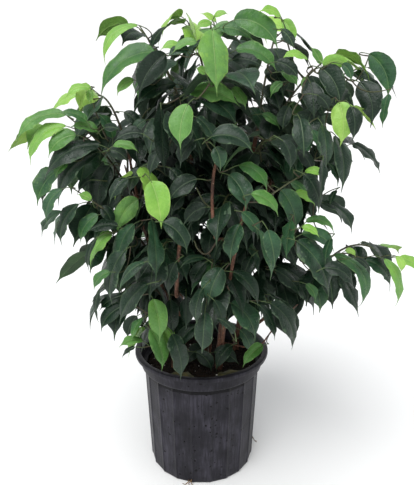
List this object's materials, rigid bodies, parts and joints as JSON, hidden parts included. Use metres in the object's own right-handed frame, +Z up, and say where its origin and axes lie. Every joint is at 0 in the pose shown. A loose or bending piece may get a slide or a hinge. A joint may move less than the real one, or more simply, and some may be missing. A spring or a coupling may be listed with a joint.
{
  "type": "potted weeping fig",
  "caption": "Bushy weeping fig with arching twigs of pointed leaves on slender upright stems, growing in the soil of a ribbed black nursery pot with a rim and drain holes",
  "frame": {"origin": "middle of the underside of the pot, on the surface it stands on", "axes": "+Z up along the pot's axis, -Y towards the viewer of the picture, +X to that viewer's right"},
  "size_m": [0.7127, 0.5533, 0.8595],
  "materials": {
    "black_plastic": "matt, faintly marked by water",
    "potting_mix": "loose and rough",
    "bark": "matt bark",
    "mature_leaf": "satin",
    "young_leaf": "satin",
    "withered_leaf": "dull"
  },
  "bodies": {
    "root": {"nursery_pot": "black_plastic", "potting_soil": "potting_mix", "stem_1": "bark", "stem_2": "bark", "stem_3": "bark", "stem_4": "bark", "stem_5": "bark", "dropped_leaf_1": "withered_leaf", "dropped_leaf_2": "withered_leaf", "spray_01": "mature_leaf", "spray_02": "mature_leaf", "spray_03": "mature_leaf", "shoot_03": "young_leaf", "spray_04": "mature_leaf", "shoot_04": "young_leaf", "spray_05": "mature_leaf", "spray_06": "mature_leaf", "spray_07": "mature_leaf", "spray_08": "mature_leaf", "spray_09": "mature_leaf", "shoot_09": "young_leaf", "spray_10": "mature_leaf", "shoot_10": "young_leaf", "spray_11": "mature_leaf", "spray_12": "mature_leaf", "shoot_12": "young_leaf", "spray_13": "mature_leaf", "shoot_13": "young_leaf", "spray_14": "mature_leaf", "spray_15": "mature_leaf", "shoot_15": "young_leaf", "spray_16": "mature_leaf", "spray_17": "mature_leaf", "shoot_17": "young_leaf", "spray_18": "mature_leaf", "spray_19": "mature_leaf", "spray_20": "mature_leaf", "shoot_20": "young_leaf", "spray_21": "mature_leaf", "spray_22": "mature_leaf", "spray_23": "mature_leaf", "spray_24": "mature_leaf", "spray_25": "mature_leaf", "spray_26": "mature_leaf", "spray_27": "mature_leaf", "spray_28": "mature_leaf", "spray_42": "mature_leaf", "spray_110": "mature_leaf", "spray_46": "mature_leaf", "spray_114": "mature_leaf", "spray_72": "mature_leaf", "spray_30": "mature_leaf", "spray_98": "mature_leaf", "spray_77": "mature_leaf", "spray_56": "mature_leaf", "spray_103": "mature_leaf", "spray_82": "mature_leaf", "spray_53": "mature_leaf", "spray_87": "mature_leaf", "spray_32": "mature_leaf"}
  },
  "joints": []
}
